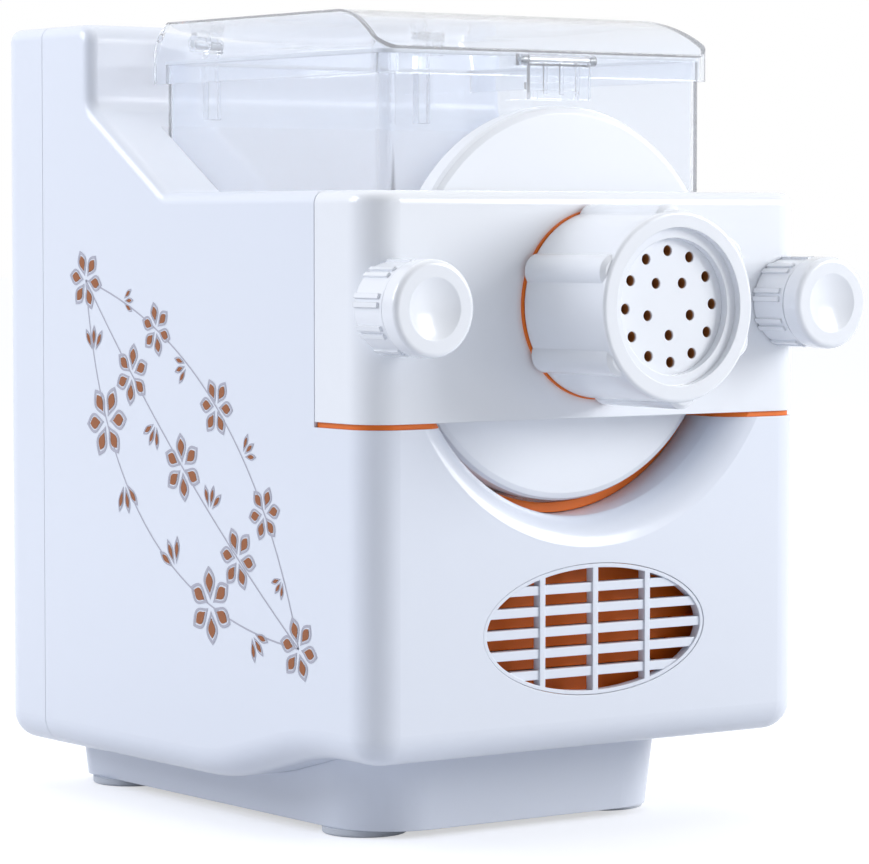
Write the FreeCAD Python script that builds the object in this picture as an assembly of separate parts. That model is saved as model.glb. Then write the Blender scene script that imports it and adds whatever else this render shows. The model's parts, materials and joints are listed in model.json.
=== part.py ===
import FreeCAD, Part
import math
import os
from FreeCAD import Vector

# Electric pasta maker: a motor under a clear mixing bin turns a paddle and a screw,
# which press the dough through a round die held by a screwed nut at the front.
# Lengths are in millimetres. While a piece is drawn, y is the depth behind the front
# face of the front bar, z is the height above the table and x is 0 on the mid-plane.
# save() then moves every piece so that the origin is under the middle of the outline.

# Outline of the housing and the axis of the screw
BODY_WIDTH = 215.0
BODY_DEPTH = 277.6
TOWER_TOP_Z = 324.0
DECK_Z = 254.0
AXIS_Z = 210.0
HALF_W = BODY_WIDTH / 2
CORNER_R = 14.0
WALL = 3.0
RAMP_FRONT = BODY_DEPTH - 132.4
TOWER_FRONT = BODY_DEPTH - 74.1
RAMP_TOP_Z = TOWER_TOP_Z - 34.1
PROFILE_R = 8.0
REAR_BOTTOM_Z = 20.0
FRONT_BOTTOM_Z = 36.0
BOW_REAR = 108.0
BOW_FRONT = 46.0
BOW_R = 120.0
BOTTOM_EDGE_R = 12.0
UPPER_EDGE_R = 5.0
COVER_SEAM = BODY_DEPTH - 36.6
SEAM_GAP = 0.2

# Clearances shared by many pieces
FIT = 0.05
LOOSE = 0.3
REST_GAP = 0.4

# Base and feet
PLINTH_HALF_W = HALF_W - 29.0
PLINTH_FRONT = 42.0
PLINTH_BACK = BODY_DEPTH - 5.6
PLINTH_R = 28.0
PLINTH_DRAFT = 3.0
FOOT_R = 17.0
FOOT_H = 3.0
FEET = ((PLINTH_HALF_W - 18.5, 72.0), (PLINTH_HALF_W - 16.5, PLINTH_BACK - 27.0))
BASE_OPENING = (PLINTH_HALF_W - 28.5, 62.0, PLINTH_BACK - 40.0)
BASE_SCREWS = ((PLINTH_HALF_W - 14.5, 130.0), (PLINTH_HALF_W - 14.5, PLINTH_BACK - 60.0))

# Front bar and its knobs
BAR_HALF_H = DECK_Z - AXIS_Z
BAR_BOTTOM_Z = AXIS_Z - BAR_HALF_H
BAR_DEPTH = 36.7
BAR_GAP = 2.1
BAR_SKIN = 3.0
LIP_Z = BAR_BOTTOM_Z - BAR_GAP
TONGUE_INSET = 1.2
SHELL_FRONT = BAR_DEPTH + REST_GAP
KNOB_X = HALF_W - 10.05
KNOB_R = 18.3
KNOB_FACE = -27.8
KNOB_BACK = -0.4
KNOB_DISH_R = 11.7
KNOB_RIB_PAIRS = 9
STUD_R = 3.5
INSERT_R = 5.2
INSERT_LENGTH = 22.0
INSERT_BOSS_R = 7.0

# Bin, lid and latch
BIN_HALF_W = HALF_W - 28.0
BIN_FRONT = 31.0
BIN_BACK = BODY_DEPTH - 87.6
BIN_WALL = 2.8
BIN_TOP_Z = TOWER_TOP_Z - 17.0
BIN_CORNER_R = 6.0
BIN_MOUTH_R = BIN_HALF_W - 7.5
WELL_GAP = 0.8
WELL_WALL = 2.4
WELL_HALF_W = BIN_HALF_W + WELL_GAP
WELL_BACK = BIN_BACK + REST_GAP
LID_GAP = 0.5
LID_WALL = 2.4
LID_SKIRT_Z = BIN_TOP_Z - 8.0
LID_SKIRT_TOP_Z = BIN_TOP_Z + 2.5
LID_TOP_Z = BIN_TOP_Z + 18.0
LID_BEVEL_FRONT = 66.0
LID_BEVEL_SIDE = 6.5
LID_BACK = BIN_BACK + 2.0
LID_SEAL_H = 1.4
HINGE_Y = BIN_BACK + 1.0
HINGE_Z = BIN_TOP_Z + 11.0
HINGE_PIN_R = 1.5
KNUCKLE_R = 3.6
HINGE_X = (50.0, 56.0, 63.0)
LATCH_HALF_W = 15.0
LATCH_Y = 25.4
LATCH_Z = BIN_TOP_Z - 1.5
LATCH_R = 2.3
LATCH_PIN_R = 1.0
LATCH_FOOT_Z = BIN_TOP_Z - 17.0
LATCH_THICK = 2.2
LATCH_LUG_W = 3.0
CATCH_Z = BIN_TOP_Z - 13.0
CATCH_REACH = 1.7

# Disc, barrel, die and nut
DISC_R = BIN_HALF_W - 2.0
DISC_FRONT = 19.0
DISC_THICK = 10.5
SEAL_THICK = BIN_FRONT - DISC_FRONT - DISC_THICK
BARREL_R = 32.9
BORE_R = 24.0
BARREL_FRONT = -36.3
BARREL_BACK = 34.0
BARREL_FLANGE_R = 40.5
BARREL_FLANGE = 3.0
COLLAR_R = 36.9
COLLAR_THICK = 1.4
DIE_R = 31.0
DIE_THICK = 8.0
DIE_FRONT = BARREL_FRONT - DIE_THICK
DIE_HOLE_R = 2.1
DIE_OUTER = (12, 21.2, 2.0)
DIE_INNER = (5, 10.9, 54.0)
NUT_R = 36.4
NUT_FACE = -50.6
NUT_MOUTH_R = 30.0
NUT_LIP_R = 26.0
NUT_STEP = 3.0
NUT_LOBES = 6
NUT_LOBE_ANGLE = 36.0
NUT_LOBE_R = 7.0
NUT_LOBE_CENTRE = 32.2

# Scalloped recess in the lower front, the frame's collar in it, and the grille below it
SCALLOP_R = DISC_R + 5.5
SCALLOP_LIP_R = SCALLOP_R + 11.5
SCALLOP_DEPTH = 15.0
FRAME_COLLAR_R = DISC_R + 1.3
FRAME_FRONT = 28.5
GRILLE_Z = 83.4
GRILLE_A = 53.0
GRILLE_B = 24.0
GRILLE_RIM = 1.6
GRILLE_DEPTH = 4.2
GRILLE_BAR_H = 3.6
GRILLE_PITCH = 8.2
GRILLE_BARS = 5
GRILLE_POST_W = 2.6
GRILLE_POST_PITCH = 26.0
GRILLE_POSTS = 3
VENT_FRONT = 13.0
VENT_THICK = 2.5
VENT_RIM = 8.0

# Screw, paddle and drive
AUGER_CORE_R = 11.0
AUGER_R = 23.4
AUGER_FRONT = -33.0
AUGER_BACK = 58.0
AUGER_PITCH = 30.0
AUGER_STEPS = 16
FLIGHT_THICK = 4.0
PADDLE_R = 13.0
PADDLE_BACK = BIN_BACK - 6.0
PADDLE_REACH = BIN_HALF_W - 9.5
PADDLE_ARM_R = 4.0
PADDLE_ARMS = 6
DRIVE_R = 8.0
DRIVE_FRONT = PADDLE_BACK - 34.0
SEAL_R = 12.0
PRESSURE_ANGLE = math.radians(20.0)
BACKLASH = 0.16
MODULE_FAST = 1.25
MODULE_SLOW = 1.5
PINION_TEETH = 16
IDLER_TEETH = 64
OUTPUT_TEETH = 80
GEARCASE_FRONT = WELL_BACK + WELL_WALL + 0.2
GEARCASE_BACK = COVER_SEAM - 4.0
GEARCASE_TOP_R = 65.5
GEARCASE_LOW_R = 32.0
GEARCASE_COVER = 3.0
SLOW_GEAR_Y = GEARCASE_FRONT + 10.0
SLOW_GEAR_W = 14.0
FAST_GEAR_Y = GEARCASE_BACK - 16.0
FAST_GEAR_W = 12.0
IDLER_AXLE_R = 4.0
IDLER_Z = AXIS_Z - MODULE_SLOW * (PINION_TEETH + OUTPUT_TEETH) / 2
BUSH_R = 13.0
MOTOR_Z = IDLER_Z - MODULE_FAST * (PINION_TEETH + IDLER_TEETH) / 2
MOTOR_FRONT = 96.0
MOTOR_R = 34.0
MOTOR_WALL = 3.0
ROTOR_R = 24.0
MOTOR_SHAFT_R = 4.0
FAN_R = 33.0
FAN_Y = 70.0
FAN_WIDTH = 12.0
FAN_BLADES = 7

# Control panel on the tower, and the sockets on the back
SKIN_Z = TOWER_TOP_Z - WALL
PANEL_HALF_W = 60.0
PANEL_FRONT = TOWER_FRONT + 10.5
PANEL_BACK = COVER_SEAM - 5.0
PANEL_RISE = 0.4
PANEL_FLANGE = 1.8
PANEL_LIP = 2.4
BUTTON_R = 5.5
BUTTON_X = (2.0, 18.0, 34.0, 50.0)
BUTTON_NAMES = ("start_button", "mix_button", "press_button", "stop_button")
BUTTON_RISE = 1.8
BUTTON_TRAVEL = 1.2
DISPLAY = (-54.0, -16.0, 12.0)
BOARD_Z = TOWER_TOP_Z - 16.0
BOARD_THICK = 1.6
INLET = (-60.0, 62.0, 28.0, 21.0)
INLET_CAVITY = (24.4, 16.6, 19.0)
SWITCH = (60.0, 62.0, 26.0)
ROCKER_R = 8.5
ROCKER_HALF_W = 9.0
ROCKER_TILT = 8.0
COVER_SCREWS = ((HALF_W - 15.5, 60.0), (HALF_W - 15.5, TOWER_TOP_Z - 36.0))
REAR_SLOTS = (8, 8.0, 3.2, 122.0)
REAR_SLOT_X = (10.0, 62.0)
SCREW_R = 1.75
SCREW_HEAD_R = 4.0
SCREW_HEAD = 2.6
BOSS_R = 6.0

# Shift that brings the origin under the middle of the outline
ORIGIN_SHIFT = (BODY_DEPTH + NUT_FACE) / 2


def box(x0, x1, y0, y1, z0, z1):
    return Part.makeBox(x1 - x0, y1 - y0, z1 - z0, Vector(x0, y0, z0))


def rod_y(r, y0, y1, x=0.0, z=AXIS_Z):
    return Part.makeCylinder(r, y1 - y0, Vector(x, y0, z), Vector(0, 1, 0))


def rod_x(r, x0, x1, y, z):
    return Part.makeCylinder(r, x1 - x0, Vector(x0, y, z), Vector(1, 0, 0))


def rod_z(r, z0, z1, x, y):
    return Part.makeCylinder(r, z1 - z0, Vector(x, y, z0))


def ring_y(r_out, r_in, y0, y1, x=0.0, z=AXIS_Z):
    return rod_y(r_out, y0, y1, x, z).cut(rod_y(r_in, y0 - 1, y1 + 1, x, z))


def fuse_all(first, *others):
    return first.multiFuse(list(others)).removeSplitter() if others else first


def cut_all(first, *others):
    return first.cut(Part.makeCompound(list(others)))


def rounded_wire(corners, place):
    """Closed outline through (u, v, radius) corners, each rounded by a tangent arc."""
    spans = []
    for i, (u, v, r) in enumerate(corners):
        before = corners[i - 1]
        after = corners[(i + 1) % len(corners)]
        corner = Vector(u, v, 0)
        if r <= 0:
            spans.append((corner, None, corner))
            continue
        back = Vector(before[0] - u, before[1] - v, 0).normalize()
        ahead = Vector(after[0] - u, after[1] - v, 0).normalize()
        half = back.getAngle(ahead) / 2
        inward = (back + ahead).normalize()
        reach = r / math.tan(half)
        middle = corner + inward * (r / math.sin(half) - r)
        spans.append((corner + back * reach, middle, corner + ahead * reach))
    edges = []
    for i, (start, middle, end) in enumerate(spans):
        following = spans[(i + 1) % len(spans)][0]
        if middle is not None:
            edges.append(Part.Arc(place(start), place(middle), place(end)).toShape())
        if end.distanceToPoint(following) > 1e-6:
            edges.append(Part.LineSegment(place(end), place(following)).toShape())
    return Part.Wire(edges)


def rounded_slab(x0, x1, y0, y1, z0, z1, r):
    """Block standing on z0 with rounded upright edges."""
    corners = [(x0, y0, r), (x1, y0, r), (x1, y1, r), (x0, y1, r)]
    wire = rounded_wire(corners, lambda p: Vector(p.x, p.y, z0))
    return Part.Face(wire).extrude(Vector(0, 0, z1 - z0))


def turned(points, angle=360.0, start=0.0):
    """Solid of revolution about the screw axis from (radius, depth) points."""
    corners = [Vector(r, y, AXIS_Z) for r, y in points]
    face = Part.Face(Part.makePolygon(corners + corners[:1]))
    face.rotate(Vector(0, 0, AXIS_Z), Vector(0, 1, 0), start)
    return face.revolve(Vector(0, 0, AXIS_Z), Vector(0, 1, 0), angle)


def ellipse_prism(a, b, y0, y1):
    ellipse = Part.Ellipse(Vector(0, y0, GRILLE_Z), a, b)
    upright = FreeCAD.Rotation(Vector(1, 0, 0), 90)
    ellipse.rotate(FreeCAD.Placement(Vector(0, y0, GRILLE_Z), upright, Vector()))
    return Part.Face(Part.Wire([ellipse.toShape()])).extrude(Vector(0, y1 - y0, 0))


def body(inset):
    """The housing's outer form, or the same form with every face moved in by inset."""
    side = [
        (0, FRONT_BOTTOM_Z, 0),
        (0, DECK_Z, 0),
        (RAMP_FRONT, DECK_Z, PROFILE_R),
        (TOWER_FRONT, RAMP_TOP_Z, PROFILE_R),
        (TOWER_FRONT, TOWER_TOP_Z, PROFILE_R),
        (BODY_DEPTH, TOWER_TOP_Z, 0),
        (BODY_DEPTH, REAR_BOTTOM_Z, 0),
        (BOW_REAR, REAR_BOTTOM_Z, BOW_R),
        (BOW_FRONT, FRONT_BOTTOM_Z, BOW_R),
    ]
    face = Part.Face(rounded_wire(side, lambda p: Vector(0, p.x, p.y)))
    if inset:
        face = face.makeOffset2D(-inset)
    face.translate(Vector(-BODY_WIDTH, 0, 0))
    w = HALF_W - inset
    plan = rounded_slab(-w, w, inset, BODY_DEPTH - inset, 0, TOWER_TOP_Z + 1, CORNER_R - inset)
    form = face.extrude(Vector(2 * BODY_WIDTH, 0, 0)).common(plan).removeSplitter().Solids[0]
    lower = [e for e in form.Edges if is_rim(e, 0, FRONT_BOTTOM_Z + inset + 1)]
    form = form.makeFillet(BOTTOM_EDGE_R - inset, lower)
    if inset:
        return form.Solids[0]
    upper = [e for e in form.Solids[0].Edges if is_rim(e, DECK_Z - 1, TOWER_TOP_Z + 1)]
    return form.makeFillet(UPPER_EDGE_R, upper)


def is_rim(edge, low, high):
    """Edges between two heights, without the straight ones that cross the whole width inside."""
    b = edge.BoundBox
    straight = b.XLength > BODY_WIDTH - 2 * CORNER_R - 1
    inside = straight and WALL + 1 < b.YMin < BODY_DEPTH - WALL - 1
    return b.ZMin > low and b.ZMax < high and not inside


def scallop(grow, back):
    """Dish in the lower front: a soft lip that runs down to a round tube."""
    lip = SCALLOP_LIP_R + grow
    tube = SCALLOP_R + grow
    knee = Vector(tube + (lip - tube) * 0.29, SCALLOP_DEPTH * 0.29, AXIS_Z)
    arc = Part.Arc(Vector(lip, 0, AXIS_Z), knee, Vector(tube, SCALLOP_DEPTH, AXIS_Z)).toShape()
    corners = [Vector(tube, SCALLOP_DEPTH, AXIS_Z), Vector(tube, back, AXIS_Z), Vector(0, back, AXIS_Z)]
    corners += [Vector(0, -1, AXIS_Z), Vector(lip, -1, AXIS_Z), Vector(lip, 0, AXIS_Z)]
    wire = Part.Wire([arc] + Part.makePolygon(corners).Edges)
    return Part.Face(wire).revolve(Vector(0, 0, AXIS_Z), Vector(0, 1, 0), 360)


def well(grow, back):
    return box(-WELL_HALF_W - grow, WELL_HALF_W + grow, 0, back, AXIS_Z, TOWER_TOP_Z)


def screw(x, y, z, direction, length):
    """Pan-head screw whose head sits at the given point and whose shank runs along direction."""
    point = Vector(x, y, z)
    shank = Part.makeCylinder(SCREW_R, length, point, direction)
    head = Part.makeCylinder(SCREW_HEAD_R, SCREW_HEAD, point, direction * -1)
    slot = box(-0.5, 0.5, -SCREW_HEAD_R, SCREW_HEAD_R, -0.5, 0.5)
    turn = FreeCAD.Rotation(Vector(0, 0, 1), direction)
    slot.Placement = FreeCAD.Placement(point - direction * SCREW_HEAD, turn)
    return shank.fuse(head).cut(slot)


def outer_shell():
    outer = body(0)
    outer = cut_all(outer, box(-HALF_W, HALF_W, -1, SHELL_FRONT, LIP_Z, TOWER_TOP_Z))
    lower_half = box(-HALF_W, HALF_W, 0, BODY_DEPTH, 0, AXIS_Z)
    trough_room = rod_y(SCALLOP_R, 0, WELL_BACK + WELL_WALL + LOOSE).common(lower_half)
    outer = cut_all(outer, scallop(0, SHELL_FRONT), well(0, WELL_BACK), trough_room)
    hollow = body(WALL)
    hollow = cut_all(hollow, box(-HALF_W, HALF_W, 0, SHELL_FRONT + WALL, LIP_Z - WALL, TOWER_TOP_Z))
    hollow = cut_all(hollow, scallop(WALL, SHELL_FRONT), well(WELL_WALL, WELL_BACK + WELL_WALL))
    shell = outer.cut(hollow)
    x, y0, y1 = BASE_OPENING
    panel_w = PANEL_HALF_W + SEAM_GAP
    rim = GRILLE_RIM + SEAM_GAP
    shell = cut_all(
        shell,
        box(-HALF_W, HALF_W, COVER_SEAM, BODY_DEPTH + 1, 0, TOWER_TOP_Z + 1),
        box(-x, x, y0, y1, 0, REAR_BOTTOM_Z + 20),
        ellipse_prism(GRILLE_A + rim, GRILLE_B + rim, -1, WALL + 1),
        box(-panel_w, panel_w, PANEL_FRONT - SEAM_GAP, PANEL_BACK + SEAM_GAP, SKIN_Z - 1, TOWER_TOP_Z + 1),
        rod_y(SEAL_R, WELL_BACK - 1, WELL_BACK + WELL_WALL + 1),
    )
    bosses = []
    for side in (-1, 1):
        bosses.append(rod_y(INSERT_BOSS_R, SHELL_FRONT, SHELL_FRONT + INSERT_LENGTH + 2, side * KNOB_X))
        for bx, bz in COVER_SCREWS:
            bosses.append(rod_y(BOSS_R, COVER_SEAM - 18, COVER_SEAM, side * bx, bz))
            x0, x1 = sorted((side * bx, side * (HALF_W - WALL + 1)))
            bosses.append(box(x0, x1, COVER_SEAM - 18, COVER_SEAM, bz - 1.5, bz + 1.5))
        for bx, by in BASE_SCREWS:
            bosses.append(rod_z(BOSS_R, REAR_BOTTOM_Z + 1, REAR_BOTTOM_Z + 16, side * bx, by))
    shell = fuse_all(shell, *bosses)
    holes = []
    for side in (-1, 1):
        holes.append(rod_y(INSERT_R, SHELL_FRONT - 1, SHELL_FRONT + INSERT_LENGTH, side * KNOB_X))
        for bx, bz in COVER_SCREWS:
            holes.append(rod_y(SCREW_R, COVER_SEAM - 16, COVER_SEAM + 1, side * bx, bz))
        for bx, by in BASE_SCREWS:
            holes.append(rod_z(SCREW_R, REAR_BOTTOM_Z - 1, REAR_BOTTOM_Z + 14, side * bx, by))
    return cut_all(shell, *holes)


def rear_cover():
    """Rear part of the housing, with louvre slots, a socket hole, a switch hole and screw posts."""
    rear = box(-HALF_W, HALF_W, COVER_SEAM + SEAM_GAP, BODY_DEPTH, 0, TOWER_TOP_Z)
    shell = body(0).cut(body(WALL)).common(rear)
    skin_y = BODY_DEPTH - WALL - 1
    posts = []
    holes = []
    for side in (-1, 1):
        for bx, bz in COVER_SCREWS:
            posts.append(rod_y(BOSS_R, COVER_SEAM + SEAM_GAP, BODY_DEPTH - WALL + 1, side * bx, bz))
            holes.append(rod_y(SCREW_HEAD_R + 0.3, COVER_SEAM + 12, BODY_DEPTH + 1, side * bx, bz))
            holes.append(rod_y(SCREW_R + 0.2, COVER_SEAM, COVER_SEAM + 13, side * bx, bz))
    for x, z, w, h in (INLET, SWITCH + SWITCH[2:]):
        w, h = w / 2 + SEAM_GAP, h / 2 + SEAM_GAP
        holes.append(box(x - w, x + w, skin_y, BODY_DEPTH + 1, z - h, z + h))
    rows, pitch, height, low_z = REAR_SLOTS
    x0, x1 = REAR_SLOT_X
    for row in range(rows):
        z = low_z + row * pitch
        holes.append(box(x0, x1, skin_y, BODY_DEPTH + 1, z, z + height))
        holes.append(box(-x1, -x0, skin_y, BODY_DEPTH + 1, z, z + height))
    return cut_all(fuse_all(shell, *posts), *holes)


def base_plate():
    """Tapered plinth whose upper edge follows the bowed underside of the housing."""
    def tub(inset, low, high):
        wires = []
        for z in (low, high):
            taper = inset + PLINTH_DRAFT * (FRONT_BOTTOM_Z - z) / FRONT_BOTTOM_Z
            w, y0, y1 = PLINTH_HALF_W - taper, PLINTH_FRONT + taper, PLINTH_BACK - taper
            front_r, back_r = PLINTH_R - inset, CORNER_R - inset
            corners = [(-w, y0, front_r), (w, y0, front_r), (w, y1, back_r), (-w, y1, back_r)]
            wires.append(rounded_wire(corners, lambda p, z=z: Vector(p.x, p.y, z)))
        return Part.makeLoft(wires, True, True)

    plate = tub(0, FOOT_H, FRONT_BOTTOM_Z + 6).cut(tub(WALL, FOOT_H + WALL, FRONT_BOTTOM_Z + 7))
    posts = [rod_z(BOSS_R, FOOT_H + 1, REAR_BOTTOM_Z + 1, s * x, y) for x, y in BASE_SCREWS for s in (-1, 1)]
    plate = fuse_all(plate, *posts).cut(body(0))
    holes = [rod_z(SCREW_HEAD_R + 0.3, 0, FOOT_H + 8, s * x, y) for x, y in BASE_SCREWS for s in (-1, 1)]
    holes += [rod_z(SCREW_R + 0.2, 0, REAR_BOTTOM_Z + 1, s * x, y) for x, y in BASE_SCREWS for s in (-1, 1)]
    return cut_all(plate, *holes)


def feet():
    pads = []
    for x, y in FEET:
        for side in (-1, 1):
            pad = rod_z(FOOT_R, 0, FOOT_H, side * x, y)
            pads.append(pad.makeFillet(1.0, [e for e in pad.Edges if e.BoundBox.ZMax < 0.1]))
    return Part.makeCompound(pads)


def base_screws():
    up = Vector(0, 0, 1)
    return Part.makeCompound([screw(s * x, y, FOOT_H + 8, up, 22) for x, y in BASE_SCREWS for s in (-1, 1)])


def cover_screws():
    inward = Vector(0, -1, 0)
    places = [(s * x, z) for x, z in COVER_SCREWS for s in (-1, 1)]
    return Part.makeCompound([screw(x, COVER_SEAM + 12, z, inward, 26) for x, z in places])


def grille():
    """Oval air inlet: level bars with upright posts in front of them, inside a narrow rim."""
    y1 = GRILLE_DEPTH
    rim = ellipse_prism(GRILLE_A + GRILLE_RIM, GRILLE_B + GRILLE_RIM, 0.2, y1)
    rim = rim.cut(ellipse_prism(GRILLE_A, GRILLE_B, 0, y1 + 1))
    bars = []
    for i in range(GRILLE_BARS):
        z = GRILLE_Z + (i - (GRILLE_BARS - 1) / 2) * GRILLE_PITCH
        bars.append(box(-HALF_W, HALF_W, 0.8, y1, z - GRILLE_BAR_H / 2, z + GRILLE_BAR_H / 2))
    for i in range(GRILLE_POSTS):
        x = (i - (GRILLE_POSTS - 1) / 2) * GRILLE_POST_PITCH
        bars.append(box(x - GRILLE_POST_W / 2, x + GRILLE_POST_W / 2, 0.2, y1, GRILLE_Z - 60, GRILLE_Z + 60))
    inside = ellipse_prism(GRILLE_A + 0.5, GRILLE_B + 0.5, 0, y1 + 1)
    return fuse_all(rim, fuse_all(*bars).common(inside))


def vent_plate():
    """Baffle behind the grille, with slots between its louvres and four legs to the front wall."""
    a, b = GRILLE_A + VENT_RIM, GRILLE_B + VENT_RIM
    plate = ellipse_prism(a, b, VENT_FRONT, VENT_FRONT + VENT_THICK)
    slots = []
    for i in range(GRILLE_BARS):
        z = GRILLE_Z + (i - (GRILLE_BARS - 1) / 2) * GRILLE_PITCH
        half = a * math.sqrt(1 - ((z - GRILLE_Z) / b) ** 2) - 12
        slots.append(box(-half, half, VENT_FRONT - 1, VENT_FRONT + VENT_THICK + 1, z - 0.9, z + 0.9))
    out = GRILLE_RIM + 2.4
    legs = [rod_y(2.0, WALL, VENT_FRONT + 1, s * (GRILLE_A + out), GRILLE_Z) for s in (-1, 1)]
    legs += [rod_y(2.0, WALL, VENT_FRONT + 1, 0, GRILLE_Z + s * (GRILLE_B + out)) for s in (-1, 1)]
    return fuse_all(plate.cut(Part.makeCompound(slots)), *legs)


def inner_frame():
    """Coloured frame: a half trough that carries the bin, its front collar and the tongue under the bar."""
    outer = WELL_HALF_W + WELL_WALL
    points = [(outer, FRAME_FRONT), (outer, WELL_BACK + WELL_WALL), (0, WELL_BACK + WELL_WALL)]
    points += [(0, WELL_BACK), (WELL_HALF_W, WELL_BACK), (WELL_HALF_W, BIN_FRONT - REST_GAP)]
    points += [(FRAME_COLLAR_R, BIN_FRONT - REST_GAP), (FRAME_COLLAR_R, FRAME_FRONT)]
    trough = turned(points, 180, 0)
    if trough.BoundBox.ZMax > AXIS_Z + 1:
        trough = turned(points, 180, 180)
    trough = trough.cut(box(-HALF_W, HALF_W, 0, SHELL_FRONT, BAR_BOTTOM_Z, TOWER_TOP_Z))
    trough = trough.cut(rod_y(SEAL_R, WELL_BACK - 1, WELL_BACK + WELL_WALL + 1))
    w = HALF_W - TONGUE_INSET
    tongue = rounded_slab(-w, w, TONGUE_INSET, BAR_DEPTH * 2, LIP_Z, BAR_BOTTOM_Z, CORNER_R - TONGUE_INSET)
    behind = box(-HALF_W, HALF_W, BAR_DEPTH, BAR_DEPTH * 3, 0, DECK_Z)
    bin_room = rod_y(WELL_HALF_W, BIN_FRONT - REST_GAP, BAR_DEPTH + 1)
    collar_room = rod_y(FRAME_COLLAR_R, -1, BAR_DEPTH + 1)
    tongue = cut_all(tongue, behind, collar_room, bin_room, scallop(0, FRAME_FRONT))
    return fuse_all(trough, tongue)


def front_bar():
    """Cross bar: a skin open to the back, wrapped round both front corners and cut to clear the disc."""
    blank = body(0).common(box(-HALF_W, HALF_W, -1, BAR_DEPTH, BAR_BOTTOM_Z, DECK_Z + 1))
    disc_space = rod_y(DISC_R + 0.8, DISC_FRONT - 0.3, BAR_DEPTH + 1)
    bin_space = box(-BIN_HALF_W - 1, BIN_HALF_W + 1, BIN_FRONT - 1, BAR_DEPTH + 1, 0, TOWER_TOP_Z)
    s = BAR_SKIN
    w = HALF_W - s
    hollow = rounded_slab(-w, w, s, BAR_DEPTH * 2, BAR_BOTTOM_Z + s, DECK_Z - s, CORNER_R - s)
    flange_seat = rod_y(BARREL_R + 4, 0, DISC_FRONT - BARREL_FLANGE - 0.1)
    studs = [rod_y(STUD_R + 4, 1, BAR_DEPTH, side * KNOB_X) for side in (-1, 1)]
    bar = cut_all(blank, disc_space, bin_space, hollow)
    ribs = [flange_seat.common(box(-w, w, s - 0.5, BAR_DEPTH, 0, TOWER_TOP_Z))] + [p.common(blank) for p in studs]
    bar = fuse_all(bar, *ribs)
    holes = [rod_y(STUD_R + LOOSE, -1, BAR_DEPTH + 1, side * KNOB_X) for side in (-1, 1)]
    return cut_all(bar, rod_y(BARREL_R + 0.2, -1, BAR_DEPTH), *holes)


def front_disc():
    """Round white cover of the bin's mouth, dished round its edge, with a spigot behind it."""
    back = DISC_FRONT + DISC_THICK
    spigot = BIN_MOUTH_R - 0.4
    points = [(BARREL_R + 0.2, DISC_FRONT), (DISC_R - 3, DISC_FRONT), (DISC_R - 0.9, DISC_FRONT + 0.9)]
    points += [(DISC_R, DISC_FRONT + 3), (DISC_R, back), (spigot, back), (spigot, BARREL_BACK)]
    points += [(BIN_MOUTH_R - 4, BARREL_BACK), (BIN_MOUTH_R - 4, back - 2), (BARREL_R + 0.2, back - 2)]
    return turned(points)


def disc_seal():
    back = DISC_FRONT + DISC_THICK
    return ring_y(BIN_MOUTH_R + 4, BIN_MOUTH_R, back, back + SEAL_THICK)


def barrel():
    """Tube round the screw, with a flange that the bar holds against the disc."""
    flange = rod_y(BARREL_FLANGE_R, DISC_FRONT - BARREL_FLANGE, DISC_FRONT)
    tube = rod_y(BARREL_R, BARREL_FRONT, BARREL_BACK)
    return fuse_all(tube, flange).cut(rod_y(BORE_R, BARREL_FRONT - 1, BARREL_BACK + 1))


def barrel_collar():
    return ring_y(COLLAR_R, BARREL_R + 0.2, -COLLAR_THICK, 0)


def die():
    disc = rod_y(DIE_R, DIE_FRONT, BARREL_FRONT)
    holes = []
    for count, radius, phase in (DIE_OUTER, DIE_INNER):
        for i in range(count):
            a = math.radians(phase + 360 * i / count)
            x, z = radius * math.cos(a), AXIS_Z + radius * math.sin(a)
            holes.append(rod_y(DIE_HOLE_R, DIE_FRONT - 1, BARREL_FRONT + 1, x, z))
    return cut_all(disc, *holes)


def die_nut():
    """Screwed ring with six grip lobes; its lip holds the die against the barrel."""
    back = -COLLAR_THICK - LOOSE
    blank = rod_y(NUT_R, NUT_FACE, back)
    lobes = []
    for i in range(NUT_LOBES):
        a = math.radians(NUT_LOBE_ANGLE + 360 * i / NUT_LOBES)
        x, z = NUT_LOBE_CENTRE * math.cos(a), AXIS_Z + NUT_LOBE_CENTRE * math.sin(a)
        lobe = rod_y(NUT_LOBE_R, NUT_FACE + 1.2, back, x, z)
        lobes.append(lobe.makeChamfer(1.6, [e for e in lobe.Edges if e.BoundBox.YMax < NUT_FACE + 2]))
    rim = [e for e in blank.Edges if e.BoundBox.YMax < NUT_FACE + 0.1]
    nut = fuse_all(blank.makeFillet(1.5, rim), *lobes)
    mouth = rod_y(NUT_MOUTH_R, NUT_FACE - 1, NUT_FACE + NUT_STEP)
    lip = rod_y(NUT_LIP_R, NUT_FACE - 1, back + 1)
    return cut_all(nut, mouth, lip, rod_y(BARREL_R + LOOSE, DIE_FRONT, back + 1))


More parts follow.
